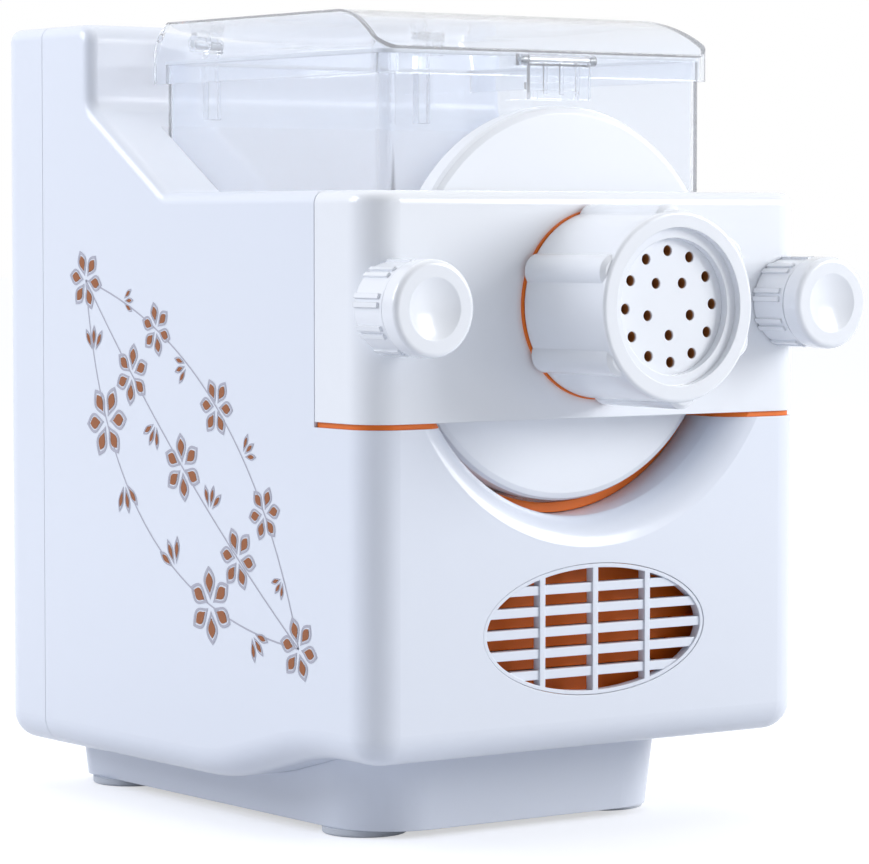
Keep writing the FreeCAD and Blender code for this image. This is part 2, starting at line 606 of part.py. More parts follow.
def knob(side):
    """Clamping knob: a smooth rim, a groove behind it and pairs of ribs on the skirt."""
    x = side * KNOB_X
    rim_back = KNOB_FACE + 8.5
    cap = rod_y(KNOB_R, KNOB_FACE, rim_back, x)
    cap = cap.makeFillet(2.2, [e for e in cap.Edges if e.BoundBox.YMax < KNOB_FACE + 0.1])
    neck = rod_y(KNOB_R - 1.4, rim_back - 1, rim_back + 2.0, x)
    skirt = rod_y(KNOB_R - 0.9, rim_back + 1.5, KNOB_BACK, x)
    ribs = []
    for i in range(KNOB_RIB_PAIRS):
        for shift in (-5.5, 5.5):
            rib = box(-1.0, 1.0, rim_back + 3.5, KNOB_BACK, KNOB_R - 3, KNOB_R)
            rib.rotate(Vector(0, 0, 0), Vector(0, 1, 0), 360 * i / KNOB_RIB_PAIRS + shift)
            rib.translate(Vector(x, 0, AXIS_Z))
            ribs.append(rib)
    form = fuse_all(cap, neck, skirt, *ribs)
    dish_r = (KNOB_DISH_R ** 2 + 2.6 ** 2) / (2 * 2.6)
    dish = Part.makeSphere(dish_r, Vector(x, KNOB_FACE + 2.6 - dish_r, AXIS_Z))
    return cut_all(form, dish, rod_y(STUD_R, KNOB_FACE + 8, KNOB_BACK + 1, x))


def stud(side):
    return rod_y(STUD_R, KNOB_FACE + 8, SHELL_FRONT + INSERT_LENGTH - 4, side * KNOB_X)


def thread_inserts():
    rings = []
    for side in (-1, 1):
        rings.append(ring_y(INSERT_R, STUD_R + FIT, SHELL_FRONT, SHELL_FRONT + INSERT_LENGTH, side * KNOB_X))
    return Part.makeCompound(rings)


def bin_form(inset, mouth_gap):
    """Bin or its hollow: straight sides over a half-round bottom, with rounded front corners."""
    w = BIN_HALF_W - inset
    y0, y1 = BIN_FRONT + inset, BIN_BACK - inset
    block = rounded_slab(-w, w, y0, y1, AXIS_Z, BIN_TOP_Z + mouth_gap, max(BIN_CORNER_R - inset, 1.0))
    return fuse_all(block, rod_y(w, y0, y1))


def flour_bin():
    """Clear mixing bin with a round mouth, a shaft hole, hinge lugs and a catch for the latch."""
    shell = bin_form(0, 0).cut(bin_form(BIN_WALL, 1))
    extras = []
    for side in (-1, 1):
        x0, x1 = sorted((side * HINGE_X[0], side * HINGE_X[1]))
        extras.append(box(x0, x1, BIN_BACK - 0.5, HINGE_Y + KNUCKLE_R, BIN_TOP_Z - 22, HINGE_Z))
        extras.append(rod_x(KNUCKLE_R, x0, x1, HINGE_Y, HINGE_Z))
    catch = box(-12, 12, BIN_FRONT - CATCH_REACH, BIN_FRONT + 0.5, CATCH_Z, CATCH_Z + 3)
    shell = fuse_all(shell, catch, *extras)
    lug_room = box(-BIN_HALF_W, BIN_HALF_W, HINGE_Y - 5, BIN_BACK + 0.3, BIN_TOP_Z, HINGE_Z - KNUCKLE_R)
    pin = rod_x(HINGE_PIN_R, -BIN_HALF_W, BIN_HALF_W, HINGE_Y, HINGE_Z)
    mouth = rod_y(BIN_MOUTH_R, 0, BIN_FRONT + 6)
    return cut_all(shell, lug_room, pin, mouth, rod_y(SEAL_R, BIN_BACK - 6, BIN_BACK + 1))


def shaft_seal():
    return ring_y(SEAL_R, DRIVE_R + FIT, BIN_BACK - BIN_WALL, WELL_BACK + WELL_WALL)


def hinge_pins():
    rods = []
    for side in (-1, 1):
        x0, x1 = sorted((side * HINGE_X[0], side * HINGE_X[2]))
        rods.append(rod_x(HINGE_PIN_R, x0, x1, HINGE_Y, HINGE_Z))
    return Part.makeCompound(rods)


def lid_form(inset):
    """Lid's outer form or its hollow: a skirt, then bevels up to a flat top."""
    w = BIN_HALF_W + LID_GAP + LID_WALL - inset
    front = BIN_FRONT - LID_GAP - LID_WALL + inset
    low = LID_SKIRT_Z - (1 if inset else 0)
    knee, top = LID_SKIRT_TOP_Z - inset * 0.5, LID_TOP_Z - inset
    back = LID_BACK + (5 if inset else 0)
    mid = (front + (LID_BEVEL_FRONT - front) * 0.4, knee + (top - knee) * 0.62)
    bevel = Part.Arc(Vector(0, front, knee), Vector(0, *mid), Vector(0, LID_BEVEL_FRONT, top)).toShape()
    rest = [(LID_BEVEL_FRONT, top), (back, top), (back, low), (front, low), (front, knee)]
    side = Part.Face(Part.Wire([bevel] + Part.makePolygon([Vector(0, *p) for p in rest]).Edges))
    side.translate(Vector(-BODY_WIDTH, 0, 0))
    flat = w - LID_BEVEL_SIDE
    bulge = w - LID_BEVEL_SIDE * 0.3
    middle = knee + (top - knee) * 0.6
    bevels = []
    for s in (-1, 1):
        span = (Vector(s * w, 0, knee), Vector(s * bulge, 0, middle), Vector(s * flat, 0, top))
        bevels.append(Part.Arc(*span).toShape())
    lines = Part.makePolygon([Vector(-flat, 0, top), Vector(flat, 0, top)]).Edges
    skirt = [Vector(-w, 0, knee), Vector(-w, 0, low), Vector(w, 0, low), Vector(w, 0, knee)]
    lines += Part.makePolygon(skirt).Edges
    ends = Part.Face(Part.Wire(Part.__sortEdges__(bevels + lines)))
    plan = rounded_slab(-w, w, front, back + 40, low - 5, top + 5, BIN_CORNER_R + 2 - inset)
    form = side.extrude(Vector(2 * BODY_WIDTH, 0, 0)).common(ends.extrude(Vector(0, BODY_DEPTH, 0)))
    return form.common(plan).common(box(-w, w, 0, back, 0, top))


def lid():
    shell = lid_form(0).cut(lid_form(LID_WALL))
    extras = []
    for side in (-1, 1):
        x0, x1 = sorted((side * (HINGE_X[1] + 0.3), side * HINGE_X[2]))
        extras.append(rod_x(KNUCKLE_R, x0, x1, HINGE_Y, HINGE_Z))
        extras.append(box(x0, x1, HINGE_Y - KNUCKLE_R, LID_BACK, HINGE_Z, LID_TOP_Z - 1))
        e0, e1 = sorted((side * (LATCH_HALF_W + LOOSE), side * (LATCH_HALF_W + LOOSE + LATCH_LUG_W)))
        extras.append(rod_x(LATCH_R, e0, e1, LATCH_Y, LATCH_Z))
        extras.append(box(e0, e1, LATCH_Y, BIN_FRONT - 1, LATCH_Z - LATCH_R, LATCH_Z + LATCH_R))
    shell = fuse_all(shell, *extras)
    pin = rod_x(HINGE_PIN_R + FIT, -BIN_HALF_W, BIN_HALF_W, HINGE_Y, HINGE_Z)
    return cut_all(shell, pin, rod_x(LATCH_PIN_R, -40, 40, LATCH_Y, LATCH_Z))


def lid_seal():
    outer = rounded_slab(-BIN_HALF_W, BIN_HALF_W, BIN_FRONT, BIN_BACK, BIN_TOP_Z, BIN_TOP_Z + LID_SEAL_H, BIN_CORNER_R)
    w = BIN_HALF_W - BIN_WALL
    y0, y1 = BIN_FRONT + BIN_WALL, BIN_BACK - BIN_WALL
    return outer.cut(rounded_slab(-w, w, y0, y1, 0, TOWER_TOP_Z, BIN_CORNER_R - BIN_WALL))


def latch():
    """Clear clasp on the lid: a knuckle, a ribbed tab and a tooth that stops just short of the catch."""
    w = LATCH_HALF_W
    z = LATCH_Z
    tab = box(-w, w, LATCH_Y - LATCH_R, LATCH_Y - LATCH_R + LATCH_THICK, LATCH_FOOT_Z, z)
    knuckle = rod_x(LATCH_R, -w, w, LATCH_Y, z)
    tooth = box(-10, 10, LATCH_Y - LATCH_R, BIN_FRONT - CATCH_REACH - LOOSE, LATCH_FOOT_Z, CATCH_Z - 0.6)
    y = LATCH_Y - LATCH_R
    ribs = [box(x - 0.8, x + 0.8, y - 1, y + 1, LATCH_FOOT_Z + 2, z - 1) for x in (-8, 0, 8)]
    return fuse_all(tab, knuckle, tooth, *ribs).cut(rod_x(LATCH_PIN_R + FIT, -w - 1, w + 1, LATCH_Y, z))


def latch_pin():
    reach = LATCH_HALF_W + LOOSE + LATCH_LUG_W
    return rod_x(LATCH_PIN_R, -reach, reach, LATCH_Y, LATCH_Z)


def helix_flight():
    """Screw blade as a closed strip of flat facets wound round the core."""
    turns = (AUGER_BACK - AUGER_FRONT - FLIGHT_THICK) / AUGER_PITCH
    count = int(round(turns * AUGER_STEPS))
    rings = []
    for i in range(count + 1):
        a = 2 * math.pi * turns * i / count
        y = AUGER_FRONT + AUGER_PITCH * turns * i / count
        root = AUGER_CORE_R - 2
        corners = ((root, 0), (AUGER_R, 0.8), (AUGER_R, FLIGHT_THICK - 0.8), (root, FLIGHT_THICK))
        rings.append([Vector(r * math.cos(a), y + dy, AXIS_Z + r * math.sin(a)) for r, dy in corners])
    faces = [Part.Face(Part.makePolygon(ring + ring[:1])) for ring in (rings[0], rings[-1])]
    for here, there in zip(rings, rings[1:]):
        for k in range(4):
            a, b, c, d = here[k], here[(k + 1) % 4], there[(k + 1) % 4], there[k]
            faces.append(Part.Face(Part.makePolygon([a, b, c, a])))
            faces.append(Part.Face(Part.makePolygon([a, c, d, a])))
    blade = Part.makeSolid(Part.makeShell(faces))
    return blade if blade.Volume > 0 else blade.reversed()


def auger():
    core = rod_y(AUGER_CORE_R, AUGER_FRONT - 2, AUGER_BACK)
    nose = [e for e in core.Edges if e.BoundBox.YMax < AUGER_FRONT]
    return core.makeFillet(4.0, nose).fuse(helix_flight())


def mixing_paddle():
    """Hub with crossed round arms, all level at rest, each ended by a flat scraper."""
    hub = rod_y(PADDLE_R, AUGER_BACK, PADDLE_BACK)
    pitch = (PADDLE_BACK - AUGER_BACK - 24) / (PADDLE_ARMS - 1)
    arms = []
    for i in range(PADDLE_ARMS):
        y = AUGER_BACK + 12 + pitch * i
        side = 1 if i % 2 else -1
        x0, x1 = sorted((0, side * PADDLE_REACH))
        arms.append(rod_x(PADDLE_ARM_R, x0, x1, y, AXIS_Z))
        t0, t1 = sorted((side * (PADDLE_REACH - 4), side * PADDLE_REACH))
        arms.append(box(t0, t1, y - 8, y + 8, AXIS_Z - PADDLE_ARM_R, AXIS_Z + PADDLE_ARM_R))
    return fuse_all(hub, *arms).cut(rod_y(DRIVE_R, DRIVE_FRONT, PADDLE_BACK + 1))


def output_shaft():
    return rod_y(DRIVE_R, DRIVE_FRONT, GEARCASE_BACK - 1)


def gear(module, teeth, y0, width, z, lead, bore):
    """Spur gear with involute flanks; lead is the direction in degrees of one tooth's middle."""
    pitch_r = module * teeth / 2
    base_r = pitch_r * math.cos(PRESSURE_ANGLE)
    tip_r = pitch_r + module
    root_r = pitch_r - 1.25 * module
    half = math.pi / (2 * teeth) - BACKLASH / (2 * pitch_r)

    def flank_angle(r):
        a = math.acos(min(1.0, base_r / r))
        return half + math.tan(PRESSURE_ANGLE) - PRESSURE_ANGLE - math.tan(a) + a

    start_r = max(base_r, root_r)
    start = flank_angle(start_r)
    flank = [(root_r, start), (start_r, start), (pitch_r, half), (tip_r, flank_angle(tip_r))]
    if start_r == root_r:
        flank = flank[1:]
    outline = []
    for i in range(teeth):
        middle = math.radians(lead) + 2 * math.pi * i / teeth
        polar = [(r, middle - a) for r, a in flank] + [(r, middle + a) for r, a in reversed(flank)]
        outline += [Vector(r * math.cos(a), y0, z + r * math.sin(a)) for r, a in polar]
    blank = Part.Face(Part.makePolygon(outline + outline[:1])).extrude(Vector(0, width, 0))
    return blank.cut(rod_y(bore, y0 - 1, y0 + width + 1, 0, z)) if bore else blank


def output_gear():
    lead = -90 + 180 / OUTPUT_TEETH
    wheel = gear(MODULE_SLOW, OUTPUT_TEETH, SLOW_GEAR_Y, SLOW_GEAR_W, AXIS_Z, lead, DRIVE_R)
    hub_r = DRIVE_R + 8
    rim_r = MODULE_SLOW * (OUTPUT_TEETH - 4) / 2 - 4
    return wheel.cut(ring_y(rim_r, hub_r, SLOW_GEAR_Y + 8, SLOW_GEAR_Y + SLOW_GEAR_W + 1))


def idler_gear():
    """Compound gear: the large wheel meets the motor pinion and the small one meets the output gear."""
    wheel = gear(MODULE_FAST, IDLER_TEETH, FAST_GEAR_Y, FAST_GEAR_W, IDLER_Z, -90 + 180 / IDLER_TEETH, 0)
    pinion = gear(MODULE_SLOW, PINION_TEETH, SLOW_GEAR_Y, FAST_GEAR_Y - SLOW_GEAR_Y, IDLER_Z, 90, 0)
    return wheel.fuse(pinion).cut(rod_y(IDLER_AXLE_R + FIT, SLOW_GEAR_Y - 1, GEARCASE_BACK, 0, IDLER_Z))


def idler_axle():
    return rod_y(IDLER_AXLE_R, GEARCASE_FRONT, GEARCASE_BACK + GEARCASE_COVER, 0, IDLER_Z)


def motor_pinion():
    return gear(MODULE_FAST, PINION_TEETH, FAST_GEAR_Y, FAST_GEAR_W, MOTOR_Z, 90, MOTOR_SHAFT_R)


def motor_shaft():
    return rod_y(MOTOR_SHAFT_R, FAN_Y, FAST_GEAR_Y + FAST_GEAR_W, 0, MOTOR_Z)


def rotor():
    y0, y1 = MOTOR_FRONT + 16, GEARCASE_FRONT - 16
    core = rod_y(ROTOR_R, y0, y1, 0, MOTOR_Z)
    slots = []
    for i in range(8):
        slot = box(-2, 2, y0 - 1, y1 + 1, ROTOR_R - 7, ROTOR_R + 1)
        slot.rotate(Vector(0, 0, 0), Vector(0, 1, 0), 360 * i / 8)
        slot.translate(Vector(0, 0, MOTOR_Z))
        slots.append(slot)
    return cut_all(core, rod_y(MOTOR_SHAFT_R, y0 - 1, y1 + 1, 0, MOTOR_Z), *slots)


def fan():
    hub = rod_y(10, FAN_Y, FAN_Y + FAN_WIDTH, 0, MOTOR_Z)
    blades = []
    for i in range(FAN_BLADES):
        blade = box(-1, 1, -FAN_WIDTH / 2, FAN_WIDTH / 2, 8, FAN_R)
        blade.rotate(Vector(0, 0, 0), Vector(0, 0, 1), 38)
        blade.translate(Vector(0, FAN_Y + FAN_WIDTH / 2, 0))
        blade.rotate(Vector(0, 0, 0), Vector(0, 1, 0), 360 * i / FAN_BLADES)
        blade.translate(Vector(0, 0, MOTOR_Z))
        blades.append(blade)
    return fuse_all(hub, *blades).cut(rod_y(MOTOR_SHAFT_R, FAN_Y - 1, FAN_Y + FAN_WIDTH + 1, 0, MOTOR_Z))


def motor_case():
    """Motor housing with end walls whose holes carry the shaft, and air slots round it."""
    can = rod_y(MOTOR_R, MOTOR_FRONT, GEARCASE_FRONT, 0, MOTOR_Z)
    room = rod_y(MOTOR_R - MOTOR_WALL, MOTOR_FRONT + MOTOR_WALL, GEARCASE_FRONT - MOTOR_WALL, 0, MOTOR_Z)
    slots = []
    for i in range(6):
        slot = box(-5, 5, MOTOR_FRONT + 6, MOTOR_FRONT + 13, MOTOR_R - 6, MOTOR_R + 1)
        slot.rotate(Vector(0, 0, 0), Vector(0, 1, 0), 30 + 60 * i)
        slot.translate(Vector(0, 0, MOTOR_Z))
        slots.append(slot)
    shaft_hole = rod_y(MOTOR_SHAFT_R + FIT, MOTOR_FRONT - 1, GEARCASE_FRONT + 1, 0, MOTOR_Z)
    return cut_all(can, room, shaft_hole, *slots)


def motor_magnets():
    ring = ring_y(MOTOR_R - MOTOR_WALL, ROTOR_R + 0.8, MOTOR_FRONT + 18, GEARCASE_FRONT - 18, 0, MOTOR_Z)
    return ring.cut(box(-5, 5, MOTOR_FRONT, GEARCASE_FRONT, 0, AXIS_Z))


def motor_cradle():
    blocks = []
    for y in (MOTOR_FRONT + 20, GEARCASE_FRONT - 32):
        blocks.append(box(-28, 28, y, y + 12, FOOT_H + WALL, MOTOR_Z - 12))
    return Part.makeCompound([b.cut(rod_y(MOTOR_R, 0, BODY_DEPTH, 0, MOTOR_Z)) for b in blocks])


def belt_outline(top_r, low_r, y0, y1):
    """Prism whose outline wraps a large circle on the screw axis and a small one on the motor axis."""
    drop = AXIS_Z - MOTOR_Z
    tilt = math.asin((top_r - low_r) / drop)
    c, s = math.cos(tilt), math.sin(tilt)
    a, b = Vector(top_r * c, y0, AXIS_Z - top_r * s), Vector(low_r * c, y0, MOTOR_Z - low_r * s)
    d, e = Vector(-b.x, y0, b.z), Vector(-a.x, y0, a.z)
    edges = [
        Part.LineSegment(a, b).toShape(),
        Part.Arc(b, Vector(0, y0, MOTOR_Z - low_r), d).toShape(),
        Part.LineSegment(d, e).toShape(),
        Part.Arc(e, Vector(0, y0, AXIS_Z + top_r), a).toShape(),
    ]
    return Part.Face(Part.Wire(edges)).extrude(Vector(0, y1 - y0, 0))


def gearbox_case():
    case = belt_outline(GEARCASE_TOP_R, GEARCASE_LOW_R, GEARCASE_FRONT, GEARCASE_BACK)
    top_r, low_r = GEARCASE_TOP_R - WALL, GEARCASE_LOW_R - WALL
    room = belt_outline(top_r, low_r, GEARCASE_FRONT + WALL, GEARCASE_BACK + 1)
    leg_top = MOTOR_Z - GEARCASE_LOW_R + 12
    legs = []
    for side in (-1, 1):
        x0, x1 = sorted((side * 12, side * 24))
        legs.append(box(x0, x1, GEARCASE_FRONT, GEARCASE_BACK - 8, FOOT_H + WALL, leg_top))
    case = fuse_all(case, *legs)
    return cut_all(
        case,
        room,
        rod_y(BUSH_R, GEARCASE_FRONT - 1, GEARCASE_FRONT + WALL + 1),
        rod_y(IDLER_AXLE_R, GEARCASE_FRONT - 1, GEARCASE_FRONT + WALL + 1, 0, IDLER_Z),
        rod_y(MOTOR_SHAFT_R + 2, GEARCASE_FRONT - 1, GEARCASE_FRONT + WALL + 1, 0, MOTOR_Z),
    )


def gearbox_cover():
    plate = belt_outline(GEARCASE_TOP_R, GEARCASE_LOW_R, GEARCASE_BACK, GEARCASE_BACK + GEARCASE_COVER)
    seat = rod_y(IDLER_AXLE_R, GEARCASE_BACK - 1, GEARCASE_BACK + GEARCASE_COVER + 1, 0, IDLER_Z)
    return cut_all(plate, seat)


def output_bushes():
    front = ring_y(BUSH_R, DRIVE_R + FIT, GEARCASE_FRONT, GEARCASE_FRONT + 8)
    rear = ring_y(BUSH_R, DRIVE_R + FIT, GEARCASE_BACK - 12, GEARCASE_BACK)
    return Part.makeCompound([front, rear])


def control_panel():
    """Panel on the tower, clamped from inside by its flange, with posts for the circuit board."""
    w = PANEL_HALF_W
    top = TOWER_TOP_Z + PANEL_RISE
    under = SKIN_Z - PANEL_FLANGE
    panel = box(-w, w, PANEL_FRONT, PANEL_BACK, SKIN_Z, top)
    flange = box(-w - PANEL_LIP, w + PANEL_LIP, PANEL_FRONT - PANEL_LIP, PANEL_BACK + PANEL_LIP, under, SKIN_Z)
    posts = []
    for x in (-w, w):
        for y in (PANEL_FRONT + 1, PANEL_BACK - 1):
            posts.append(rod_z(2.2, BOARD_Z + BOARD_THICK, under, x, y))
    panel = fuse_all(panel, flange, *posts)
    middle = (PANEL_FRONT + PANEL_BACK) / 2
    holes = [rod_z(BUTTON_R + 0.1, 0, top + 1, x, middle) for x in BUTTON_X]
    x0, x1, depth = DISPLAY
    holes.append(box(x0, x1, middle - depth / 2, middle + depth / 2, 0, top + 1))
    return cut_all(panel, *holes)


def display_window():
    x0, x1, depth = DISPLAY
    middle = (PANEL_FRONT + PANEL_BACK) / 2
    half = depth / 2 - 0.1
    low = BOARD_Z + BOARD_THICK
    return box(x0 + 0.1, x1 - 0.1, middle - half, middle + half, low, TOWER_TOP_Z)


def circuit_board():
    """Board with a small key switch under each button."""
    w = PANEL_HALF_W + 2.5
    middle = (PANEL_FRONT + PANEL_BACK) / 2
    board = box(-w, w, PANEL_FRONT - 2, PANEL_BACK + 2, BOARD_Z, BOARD_Z + BOARD_THICK)
    low = SKIN_Z - PANEL_FLANGE - LOOSE - 3.0 - BUTTON_TRAVEL - LOOSE
    keys = [box(x - 3, x + 3, middle - 3, middle + 3, BOARD_Z + 0.5, low) for x in BUTTON_X]
    return fuse_all(board, *keys)


def button(x):
    """Push button kept in by a flange under the panel."""
    middle = (PANEL_FRONT + PANEL_BACK) / 2
    under = SKIN_Z - PANEL_FLANGE - LOOSE
    cap = rod_z(BUTTON_R, under - 1, TOWER_TOP_Z + PANEL_RISE + BUTTON_RISE, x, middle)
    cap = cap.makeFillet(0.8, [e for e in cap.Edges if e.BoundBox.ZMin > TOWER_TOP_Z])
    return fuse_all(cap, rod_z(BUTTON_R + 1.5, under - 3.0, under, x, middle))


def lid_switch():
    y = TOWER_FRONT + WALL
    return box(-10, 10, y, y + 5, RAMP_TOP_Z + 7, RAMP_TOP_Z + 17)


def mains_inlet():
    x, z, w, h = INLET
    cw, ch, depth = INLET_CAVITY
    block = box(x - w / 2, x + w / 2, BODY_DEPTH - depth - WALL, BODY_DEPTH, z - h / 2, z + h / 2)
    return block.cut(box(x - cw / 2, x + cw / 2, BODY_DEPTH - depth, BODY_DEPTH + 1, z - ch / 2, z + ch / 2))


def inlet_pins():
    x, z = INLET[:2]
    depth = INLET_CAVITY[2]
    pins = []
    for dx, dz in ((-7, -3), (0, 4), (7, -3)):
        px, pz = x + dx, z + dz
        pins.append(box(px - 1, px + 1, BODY_DEPTH - depth, BODY_DEPTH - 4, pz - 2, pz + 2))
    return Part.makeCompound(pins)


def switch_frame():
    x, z, s = SWITCH
    y = BODY_DEPTH - ROCKER_R - 0.6
    frame = box(x - s / 2, x + s / 2, y - ROCKER_R - 4, BODY_DEPTH, z - s / 2, z + s / 2)
    half = ROCKER_HALF_W + LOOSE
    r = ROCKER_R + LOOSE
    drum_room = rod_x(r, x - half, x + half, y, z)
    return cut_all(frame, drum_room, box(x - half, x + half, y, BODY_DEPTH + 1, z - r, z + r))


def power_rocker():
    """Round-backed rocker with a shallow V face, tilted to its off position at rest."""
    x, z, s = SWITCH
    y = BODY_DEPTH - ROCKER_R - 0.6
    drum = rod_x(ROCKER_R, x - ROCKER_HALF_W, x + ROCKER_HALF_W, y, z)
    for side in (-1, 1):
        chop = box(x - s, x + s, 0, s, -s, s)
        chop.rotate(Vector(x, 0, 0), Vector(1, 0, 0), side * ROCKER_TILT)
        chop.translate(Vector(0, y + ROCKER_R - 1.6, z))
        drum = drum.cut(chop)
    drum.rotate(Vector(x, y, z), Vector(1, 0, 0), -ROCKER_TILT)
    return drum


def pieces():
    """Every piece by its node name."""
    makers = (
        outer_shell, rear_cover, base_plate, feet, base_screws, cover_screws, grille, vent_plate,
        inner_frame, front_bar, front_disc, disc_seal, barrel, barrel_collar, die, die_nut,
        thread_inserts, flour_bin, shaft_seal, hinge_pins, lid, lid_seal, latch, latch_pin,
        auger, mixing_paddle, output_shaft, output_gear, idler_gear, idler_axle, motor_pinion,
        motor_shaft, rotor, fan, motor_case, motor_magnets, motor_cradle, gearbox_case,
        gearbox_cover, output_bushes, control_panel, display_window, circuit_board, lid_switch,
        mains_inlet, inlet_pins, switch_frame, power_rocker,
    )
    made = {maker.__name__: maker() for maker in makers}
    for name, side in (("left", -1), ("right", 1)):
        made[name + "_knob"] = knob(side)
        made[name + "_stud"] = stud(side)
    for name, x in zip(BUTTON_NAMES, BUTTON_X):
        made[name] = button(x)
    return made


def save(name, shape):
    moved = shape.copy()
    moved.translate(Vector(0, -ORIGIN_SHIFT, 0))
    moved.exportStep("parts/" + name + ".step")


os.makedirs("parts", exist_ok=True)
for name, shape in pieces().items():
    save(name, shape)
    print(name, shape.isValid(), len(shape.Solids), round(shape.Volume))
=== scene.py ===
# %% [markdown]
# The electric pasta maker in the studio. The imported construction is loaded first; its pieces are never
# moved. This script gives every piece its finish, prints a floral spray on the left panel, and sets the
# floor, the lights and the camera at the photograph's angle.

# %% Load the construction
import json
import math

import bpy
import bmesh
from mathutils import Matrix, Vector


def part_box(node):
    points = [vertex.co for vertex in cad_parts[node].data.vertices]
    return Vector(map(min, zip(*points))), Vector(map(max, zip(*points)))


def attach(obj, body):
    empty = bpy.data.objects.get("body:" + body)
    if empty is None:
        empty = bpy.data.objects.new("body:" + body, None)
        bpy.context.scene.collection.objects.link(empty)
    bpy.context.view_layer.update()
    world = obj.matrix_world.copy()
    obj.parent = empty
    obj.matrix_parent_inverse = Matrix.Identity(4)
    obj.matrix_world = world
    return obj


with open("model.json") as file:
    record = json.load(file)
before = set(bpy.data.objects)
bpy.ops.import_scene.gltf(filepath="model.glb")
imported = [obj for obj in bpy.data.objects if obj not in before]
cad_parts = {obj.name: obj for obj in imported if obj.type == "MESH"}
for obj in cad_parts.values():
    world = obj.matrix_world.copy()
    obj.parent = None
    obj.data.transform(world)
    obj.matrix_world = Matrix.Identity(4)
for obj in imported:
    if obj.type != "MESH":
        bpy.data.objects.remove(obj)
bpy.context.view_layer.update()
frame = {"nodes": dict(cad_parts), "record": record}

nodes = frame["nodes"]

# %% [markdown]
# Places that later cells share. The screw axis runs through the middle of the front bar, the front face is
# the foremost point of that bar, and the left panel is the side of the housing that the camera sees.

# %% Shared places
bar_low, bar_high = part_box("front_bar")
AXIS_Z = (bar_low.z + bar_high.z) / 2
FRONT_Y = bar_low.y
LEFT_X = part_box("outer_shell")[0].x
MM = 0.001
print("axis height", round(AXIS_Z, 4), "front face", round(FRONT_Y, 4), "left panel", round(LEFT_X, 4))


# %% [markdown]
# Colours are written as they look on a screen and turned to linear light in one place. One helper adds a
# shader node and sets its sockets by name, so each material below reads as a short recipe.

# %% Colour and node helpers
def colour(code):
    channels = [int(code[i:i + 2], 16) / 255 for i in (1, 3, 5)]
    return tuple(c / 12.92 if c <= 0.04045 else ((c + 0.055) / 1.055) ** 2.4 for c in channels) + (1.0,)


def new_material(name):
    material = bpy.data.materials.new(name)
    material.use_nodes = True
    tree = material.node_tree
    shader = next(n for n in tree.nodes if n.type == "BSDF_PRINCIPLED")
    return material, tree, shader


def add_node(tree, kind, values=None, **settings):
    node = tree.nodes.new(kind)
    for key, value in settings.items():
        setattr(node, key, value)
    for key, value in (values or {}).items():
        node.inputs[key].default_value = value
    return node


def set_shader(shader, **values):
    for key, value in values.items():
        shader.inputs[key.replace("_", " ")].default_value = value


def rounded_edges(tree, shader, radius, height=None, strength=0.0, distance=0.0001):
    """Softens sharp edges in the shading, with an optional fine relief on top."""
    bevel = add_node(tree, "ShaderNodeBevel", {"Radius": radius}, samples=6)
    if height is None:
        tree.links.new(bevel.outputs["Normal"], shader.inputs["Normal"])
        return
    bump = add_node(tree, "ShaderNodeBump", {"Strength": strength, "Distance": distance})
    tree.links.new(height, bump.inputs["Height"])
    tree.links.new(bevel.outputs["Normal"], bump.inputs["Normal"])
    tree.links.new(bump.outputs["Normal"], shader.inputs["Normal"])


def object_coordinates(tree, scale=(1, 1, 1)):
    place = add_node(tree, "ShaderNodeTexCoord")
    mapping = add_node(tree, "ShaderNodeMapping", {"Scale": scale})
    tree.links.new(place.outputs["Object"], mapping.inputs["Vector"])
    return mapping.outputs["Vector"]


print("helpers ready")


# %% [markdown]
# Injection-moulded plastics. The housing is glossy ABS: a smooth skin with a very faint flow ripple and
# a roughness that drifts a little from place to place, as polished moulds leave it. The same recipe with
# other numbers makes the trim, the coloured frame, the gears and the dark electrical parts.

# %% Moulded plastics
def moulded_plastic(name, code, roughness, ripple=0.02, scale=14.0, coat=0.0, edge=0.0006):
    material, tree, shader = new_material(name)
    where = object_coordinates(tree)
    noise = add_node(tree, "ShaderNodeTexNoise", {"Scale": scale, "Detail": 3.0, "Roughness": 0.5})
    tree.links.new(where, noise.inputs["Vector"])
    drift = add_node(tree, "ShaderNodeMapRange", {"To Min": roughness * 0.85, "To Max": roughness * 1.15})
    tree.links.new(noise.outputs["Fac"], drift.inputs["Value"])
    tree.links.new(drift.outputs["Result"], shader.inputs["Roughness"])
    set_shader(shader, Base_Color=colour(code), Coat_Weight=coat, Coat_Roughness=0.08, IOR=1.5)
    if edge:
        rounded_edges(tree, shader, edge, noise.outputs["Fac"], ripple)
    return material


abs_housing = moulded_plastic("polished_abs_bluish_white", "#E1E7F3", 0.34, coat=0.3)
abs_trim = moulded_plastic("polished_abs_white", "#ECF0F7", 0.22, coat=0.35)
abs_orange = moulded_plastic("moulded_pp_orange", "#E8700A", 0.5)
pom_white = moulded_plastic("machined_pom_ivory", "#E9E6DA", 0.42)
nylon_grey = moulded_plastic("glass_filled_nylon_grey", "#C9CBC6", 0.55, ripple=0.2, scale=400.0)
abs_button = moulded_plastic("satin_abs_button", "#F1F2F5", 0.33)
abs_panel = moulded_plastic("satin_abs_panel_blue_grey", "#9FAEC4", 0.4)
pa_black = moulded_plastic("moulded_pa_black", "#1A1A1C", 0.45, ripple=0.2, scale=300.0)
ferrite = moulded_plastic("sintered_ferrite", "#2C2B2D", 0.7, ripple=0.5, scale=500.0)
board_green = moulded_plastic("solder_mask_green", "#1E5A34", 0.35)
print("plastics", len(bpy.data.materials))


